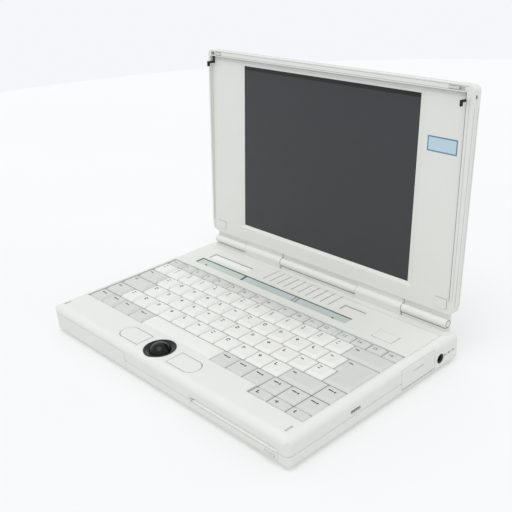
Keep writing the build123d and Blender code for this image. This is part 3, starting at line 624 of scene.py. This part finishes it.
def add_digits(bm, text, spot, low, high, level):
    """Adds a plain number whose height follows the key's dish."""
    left, rear, size = (value * MM for value in spot)
    x, y = low.x + left, high.y - rear
    mesh = digits(text, size)
    places = [(x + v.co.x, y + v.co.y) for v in mesh.vertices]
    verts = [bm.verts.new((u, v, level(u))) for u, v in places]
    for poly in mesh.polygons:
        face = bm.faces.new([verts[n] for n in poly.vertices])
        face.material_index = 1
    bpy.data.meshes.remove(mesh)


def legend(bm, node, n, low, high, top):
    """The plain number or mark at the rear left of a key's top."""
    middle, half, deep = top

    def level(x):
        """The height of a legend at x, a hair above the dished top."""
        return high.z - deep * dish(x, middle, half) + LEGEND_LIFT

    place = (low, high, level)
    if node == "function_keys":
        if n == 0:
            add_marks(bm, MARKS[0], FUNCTION_DASH, *place)
        else:
            add_digits(bm, str(n), FUNCTION_DIGIT, *place)
    elif node == "number_keys":
        if 1 <= n <= 10:
            add_digits(bm, str(n % 10), NUMBER_DIGIT, *place)
        else:
            add_marks(bm, MARKS[n % len(MARKS)], NUMBER_MARK, *place)
        add_marks(bm, MARKS[(n + 3) % len(MARKS)], UPPER_MARK, *place)
    elif node.endswith("letter_keys"):
        add_marks(bm, MARKS[(n * 5 + len(node)) % len(MARKS)], LETTER_MARK, *place)
    elif node != "space_bar":
        if high.y - low.y < LOW_KEY:
            add_marks(bm, MARKS[n], LOW_KEY_MARK, *place)
        else:
            spot = LONG_WORD_MARK if high.x - low.x > LONG_WORD_KEY else WORD_MARK
            add_marks(bm, DASH_AND_DOT, spot, *place)


def keyboard():
    """One piece for each group of keys, which replaces the group's CAD node."""
    for node in sorted(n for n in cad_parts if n.endswith(("_keys", "_key", "_bar"))):
        slot = NODE_SLOTS[node]
        bm = bmesh.new()
        for n, (low, high) in enumerate(islands(node)):
            top = add_key(bm, node, low, high)
            legend(bm, node, n, low, high, top)
        caps = piece(node + "_caps", bm, node, slot, slot, "ink", smooth=True)
        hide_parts(node)


def function_blanks():
    """Fixed ribs on the tray, in the wide gaps of the row of function keys."""
    boxes = sorted(islands("function_keys"), key=lambda box: box[0].x)
    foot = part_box("keyboard_tray")[1].z - BLANK_SINK
    bm = bmesh.new()
    for (low, high), (next_low, _) in zip(boxes, boxes[1:]):
        if next_low.x - high.x > BLANK_GAP:
            start = (high.x + BLANK_SIDE, low.y + BLANK_END, foot)
            end = (next_low.x - BLANK_SIDE, high.y - BLANK_END, BLANK_TOP)
            bar(bm, start, end, bevel=BLANK_BEVEL)
    piece("function_key_blanks", bm, "base", "grey_key", "grey_key", smooth=True)


def status_strip():
    """Dark painted shade along the rear and left edges of the status window, and its dividers and studs."""
    bm = bmesh.new()
    x0, x1 = STATUS_X[0] + STATUS_MARGIN, STATUS_X[1] - STATUS_MARGIN
    y0, y1 = STATUS_Y[0] + STATUS_MARGIN, STATUS_Y[1] - STATUS_MARGIN
    inner = y1 - STATUS_RIM
    foot, top = STATUS_TOP - SINK, STATUS_TOP + STATUS_RIM_HIGH
    bar(bm, (x0, inner, foot), (x1, y1, top), BASE, FINE_BEVEL)
    bar(bm, (x0, y0, foot), (x0 + STATUS_RIM, inner, top), BASE, FINE_BEVEL)
    for front, rear, wide in STATUS_DIVIDERS:
        strip(bm, (front, y0), (rear, inner), wide, STATUS_TOP, BASE)
    for x, y in STATUS_STUDS:
        dot(bm, (x, y, STATUS_TOP), STUD_R, BASE, lift=STUD_HIGH)
    piece("status_window_edge", bm, "base", "dark_grey", "edge")


def recess(bm, xs, ys, floor, thick, look):
    """A thin plate in a recess of the deck, with painted shade on its rear and left walls."""
    x0, x1 = xs[0] + HAIR, xs[1] - HAIR
    y0, y1 = ys[0] + HAIR, ys[1] - HAIR
    left, rear = xs[0] + PLATE_SHADE, ys[1] - PLATE_SHADE
    front, right = ys[0] + PLATE_MARGIN, xs[1] - PLATE_MARGIN
    foot, shaded = floor - SINK, floor + WALL_LIFT
    bar(bm, (left, front, foot), (right, rear, floor + thick), BASE, PLATE_BEVEL, look)
    bar(bm, (x0, rear, foot), (x1, y1, shaded), BASE)
    bar(bm, (x0, y0, foot), (left, rear, shaded), BASE)


def deck_details():
    """Blank label and badge plates, the line along the crease, and the latch wells."""
    bm = bmesh.new()
    recess(bm, LABEL_X, LABEL_Y, LABEL_FLOOR, LABEL_THICK, 1)
    recess(bm, BADGE_X, BADGE_Y, BADGE_FLOOR, BADGE_THICK, 2)
    piece("deck_plates", bm, "base", "casing", "edge", "label", "casing")
    bm = bmesh.new()
    corner = (CREASE_RIGHT, CREASE)
    strip(bm, (CREASE_RIGHT, CREASE_FRONT), corner, LINE_WIDE, DECK, BASE)
    strip(bm, corner, (CREASE_LEFT, CREASE), LINE_WIDE, DECK, BASE)
    piece("deck_crease_line", bm, "base", "casing", "line")
    bm = bmesh.new()
    for x in LATCH_X:
        latch_well(bm, x, -LATCH_Y)
    # The wells are lined with pale plastic that carries painted light, lifting their shade.
    piece("latch_wells", bm, "base", "casing", "pale")


def latch_well(bm, x, y):
    """Adds a floor and four walls under a latch slot."""
    x0, x1 = x - WELL_HALF_X, x + WELL_HALF_X
    y0, y1 = y - WELL_HALF_Y, y + WELL_HALF_Y
    foot = WELL_FLOOR - SINK
    bar(bm, (x0, y0, WELL_BOTTOM), (x1, y1, WELL_FLOOR), BASE, WELL_BEVEL)
    walls = [
        ((x0, y0), (x0 + WELL_WALL, y1)),
        ((x0, y0), (x1, y0 + WELL_WALL)),
        ((x1 - WELL_WALL, y0), (x1, y1)),
        ((x0, y1 - WELL_WALL), (x1, y1)),
    ]
    for start, end in walls:
        bar(bm, (*start, foot), (*end, WELL_TOP), BASE, WELL_WALL_BEVEL)


def side_details():
    """Floor and lip in the mouth of the diskette slot, pale and lit by painted light, and the lamps of the
    right side.
    """
    bm = bmesh.new()
    low = (SLOT_X[0], SLOT_Y[0], SLOT_FLOOR[0])
    high = (SLOT_X[1], SLOT_Y[1], SLOT_FLOOR[1])
    bar(bm, low, high, BASE, FINE_BEVEL)
    slope = Matrix.Translation(LIP_PLACE) @ Matrix.Rotation(LIP_SLOPE, 4, "X")
    bar(bm, LIP_LOW, LIP_HIGH, BASE @ slope)
    piece("diskette_slot_floor", bm, "base", "casing", "pale")
    bm = bmesh.new()
    outward = Matrix.Rotation(math.radians(90), 4, "Y")
    for y in LAMP_Y:
        dot(bm, (0, 0, 0), LAMP_R, BASE @ Matrix.Translation((SIDE_X, y, LAMP_Z)) @ outward)
    low = (SIDE_X - LAMP_LINE_DEEP, LAMP_Y[0], LAMP_Z - LAMP_LINE)
    high = (SIDE_X + HAIR, LAMP_Y[-1], LAMP_Z + LAMP_LINE)
    bar(bm, low, high, BASE, look=1)
    piece("side_lamps", bm, "base", "dark_grey", "edge", "line")


def rim_level(v):
    """Depth of the rim's face, which tapers from the top of the lid to its foot."""
    return RIM_LOW + (RIM_HIGH - RIM_LOW) * v / LID_TOP


def slant(bm, u, wide):
    """Adds a line along the face of a side rim, which rises towards the top of the lid."""
    low, high = SLANT_V
    rise = math.atan2(rim_level(high) - rim_level(low), high - low)
    turn = Matrix.Rotation(rise, 4, "X")
    spot = LID @ Matrix.Translation((u, low, rim_level(low))) @ turn
    bar(bm, (-wide / 2, 0, -LINE_DEEP), (wide / 2, (high - low) / math.cos(rise), SKIN), spot)


def lid_sticker():
    """The blank sticker, a pale field in a darker edge."""
    bm = bmesh.new()
    (u0, u1), (v0, v1) = STICKER_U, STICKER_V
    bar(bm, (u0, v0, 0), (u1, v1, STICKER_THICK), LID, STICKER_BEVEL)
    low = (u0 + STICKER_EDGE, v0 + STICKER_EDGE, STICKER_THICK)
    high = (u1 - STICKER_EDGE, v1 - STICKER_EDGE, STICKER_THICK + SKIN)
    bar(bm, low, high, LID, look=1)
    piece("lid_sticker", bm, "lid", "status_glass", "sticker_blue", "sticker_pale")


def lid_side_mark():
    """The small oval near the top of the lid's right side."""
    bm = bmesh.new()
    outward = Matrix.Rotation(math.radians(90), 4, "Y")
    stretch = Matrix.Diagonal((1.0, SIDE_MARK_STRETCH, 1.0, 1.0))
    spot = LID @ Matrix.Translation(SIDE_MARK) @ outward @ stretch
    dot(bm, (0, 0, 0), SIDE_MARK_R, spot)
    piece("lid_side_mark", bm, "lid", "dark_grey", "edge")


def lid_lines():
    """Grooves of the rims and of the lid's edges, a wide line of painted shade on the left rim, and lines
    of painted shadow along the right rim and as outlines of the lower screw caps.
    """
    bm = bmesh.new()
    foot, head = INNER_LINE_V
    strip(bm, (RIM_INNER, foot), (RIM_INNER, head), INNER_LINE_WIDE, 0.0, LID)
    for v in RIM_LINES_V:
        start, end = (-RIM_LINES_HALF, v), (RIM_LINES_HALF, v)
        strip(bm, start, end, RIM_LINES_WIDE, rim_level(v), LID)
    for w in TOP_LINES_W:
        low = (-TOP_LINES_HALF, LID_TOP - SINK, w)
        bar(bm, low, (TOP_LINES_HALF, LID_TOP + HAIR, w + EDGE_LINE), LID)
    for w in SIDE_LINES_W:
        low = (LID_SIDE - SINK, SIDE_LINES_V[0], w)
        bar(bm, low, (LID_SIDE + HAIR, SIDE_LINES_V[1], w + EDGE_LINE), LID)
    for u, wide in GROOVE_AND_SHADE_SLANTS:
        slant(bm, u, wide)
    piece("lid_groove_and_shade_lines", bm, "lid", "casing", "line")
    bm = bmesh.new()
    slant(bm, *SHADOW_SLANT)
    for low, high in islands("screw_caps"):
        low, high = LID.inverted() @ low, LID.inverted() @ high
        spots = [(low.x, low.y), (high.x, low.y), (high.x, high.y), (low.x, high.y)]
        for n in range(4):
            if low.y < LOW_CAPS:
                strip(bm, spots[n - 1], spots[n], LINE_WIDE, 0.0, LID)
    piece("lid_shadow_lines", bm, "lid", "casing", "groove")


def shaded_bands():
    """Painted shadow: the darker bands below the top rim, on the bezel and on the screen."""
    inner = LID_TOP - RIM_TOP
    near, middle, far = (inner - step for step in BAND_STEPS)
    left, right = BAND_U
    bm = bmesh.new()
    bar(bm, (left, middle, -SINK), (right, near, SKIN), LID, look=1)
    bar(bm, (left, far, -SINK), (right, middle, HAIR), LID)
    piece("lid_rim_painted_shadow", bm, "lid", "casing", "band", "tray")
    points = [LID.inverted() @ v.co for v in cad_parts["display_panel"].data.vertices]
    face = max(p.z for p in points)
    bm = bmesh.new()
    low = (SCREEN_BAND_U[0], SCREEN_BAND_V[0], face - SINK)
    high = (SCREEN_BAND_U[1], SCREEN_BAND_V[1], face + SKIN)
    bar(bm, low, high, LID)
    piece("screen_top_painted_shadow", bm, "lid", "screen", "screen_shade")


def barrel_ends():
    """A ring of painted shadow on each end of the lid's barrel."""
    for side, name in ((-1, "left_barrel_end"), (1, "right_barrel_end")):
        outward = Matrix.Rotation(math.radians(90 * side), 4, "Y")
        end = BASE @ Matrix.Translation((side * BARREL_END, 0, AXIS_Z)) @ outward
        bm = bmesh.new()
        for look, (radius, lift) in enumerate((BARREL_RING, BARREL_FACE)):
            dot(bm, (0, 0, 0), radius, end, look, lift)
        piece(name, bm, "lid", "casing", "groove", "casing")


def hinge_ledges():
    """Ledges of the deck that the lid's knuckles turn in, a hair clear of them."""
    front, rear = LEDGE_Y
    foot, top = LEDGE_Z
    profile = [(front, foot), (front, top)]
    for n in range(SEAT_STEPS + 1):
        y = SEAT_FRONT + (rear - SEAT_FRONT) * n / SEAT_STEPS
        profile.append((y, AXIS_Z - math.sqrt(SEAT_R * SEAT_R - y * y)))
    profile.append((rear, foot))
    bm = bmesh.new()
    for ledge in LEDGES:
        ends = [[bm.verts.new(BASE @ Vector((x, y, z))) for y, z in profile] for x in ledge]
        for n in range(len(profile)):
            m = (n + 1) % len(profile)
            bm.faces.new((ends[0][n], ends[0][m], ends[1][m], ends[1][n]))
        bm.faces.new(ends[0])
        bm.faces.new(list(reversed(ends[1])))
    piece("hinge_ledges", bm, "base", "casing", "casing")


def floor():
    """A pale round floor."""
    bm = bmesh.new()
    centre = bm.verts.new((0, 0, 0))
    last = None
    for share in FLOOR_RINGS:
        radius = FLOOR_RADIUS * share
        ring = []
        for n in range(FLOOR_STEPS):
            turn = 2 * math.pi * n / FLOOR_STEPS
            ring.append(bm.verts.new((radius * math.cos(turn), radius * math.sin(turn), 0)))
        for n in range(FLOOR_STEPS):
            m = (n + 1) % FLOOR_STEPS
            if last is None:
                bm.faces.new((centre, ring[n], ring[m]))
            else:
                bm.faces.new((last[n], ring[n], ring[m], last[m]))
        last = ring
    mesh = bpy.data.meshes.new("floor")
    bm.to_mesh(mesh)
    bm.free()
    obj = bpy.data.objects.new("floor", mesh)
    bpy.context.scene.collection.objects.link(obj)
    mat, bsdf = shader("floor", (0.5, 0.5, 0.5), 0.75, IOR=1.2)
    bsdf.inputs["Emission Color"].default_value = FLOOR_GLOW
    bsdf.inputs["Emission Strength"].default_value = FLOOR_GLOW_STRENGTH
    tint(mat, bsdf, noise(mat, *FLOOR_NOISE), FLOOR_DARK, FLOOR_LIGHT)
    mesh.materials.append(mat)


def light():
    """Even sky light and one soft sun."""
    world = bpy.data.worlds.new("studio")
    world.use_nodes = True
    world.node_tree.nodes["Background"].inputs["Color"].default_value = (*SKY, 1)
    bpy.context.scene.world = world
    lamp = bpy.data.lights.new("soft_sun", "SUN")
    lamp.energy = SUN_STRENGTH
    lamp.angle = SUN_ANGLE
    lamp.color = SUN_COLOUR
    obj = bpy.data.objects.new("soft_sun", lamp)
    obj.rotation_euler = SUN_FROM.to_track_quat("Z", "Y").to_euler()
    bpy.context.scene.collection.objects.link(obj)
    bpy.context.scene.view_settings.view_transform = "Standard"


def camera():
    """The photograph's camera, whose centre lies off the middle of the picture."""
    a, e, r = CAMERA_AZIMUTH, CAMERA_ELEVATION, CAMERA_ROLL
    right = Vector((math.cos(a), math.sin(a), 0))
    back = Vector((math.sin(a) * math.cos(e), -math.cos(a) * math.cos(e), math.sin(e)))
    up = back.cross(right)
    image_right = right * math.cos(r) - up * math.sin(r)
    image_up = right * math.sin(r) + up * math.cos(r)
    turn = Matrix((image_right, image_up, back)).transposed()
    data = bpy.data.cameras.new("camera")
    data.sensor_width = SENSOR
    data.lens = FOCAL_PIXELS * SENSOR / PHOTO_SIDE
    data.shift_x = (PHOTO_SIDE / 2 - CENTRE_PIXEL[0]) / PHOTO_SIDE
    data.shift_y = (CENTRE_PIXEL[1] - PHOTO_SIDE / 2) / PHOTO_SIDE
    data.clip_start = CLIP_START
    obj = bpy.data.objects.new("camera", data)
    obj.matrix_world = Matrix.Translation(CAMERA_PLACE) @ turn.to_4x4()
    bpy.context.scene.collection.objects.link(obj)
    bpy.context.scene.camera = obj


MATERIALS = materials()
camera()
light()
floor()
NODE_SLOTS = dress_frame()
keyboard()
function_blanks()
status_strip()
deck_details()
side_details()
lid_sticker()
lid_side_mark()
lid_lines()
shaded_bands()
barrel_ends()
hinge_ledges()
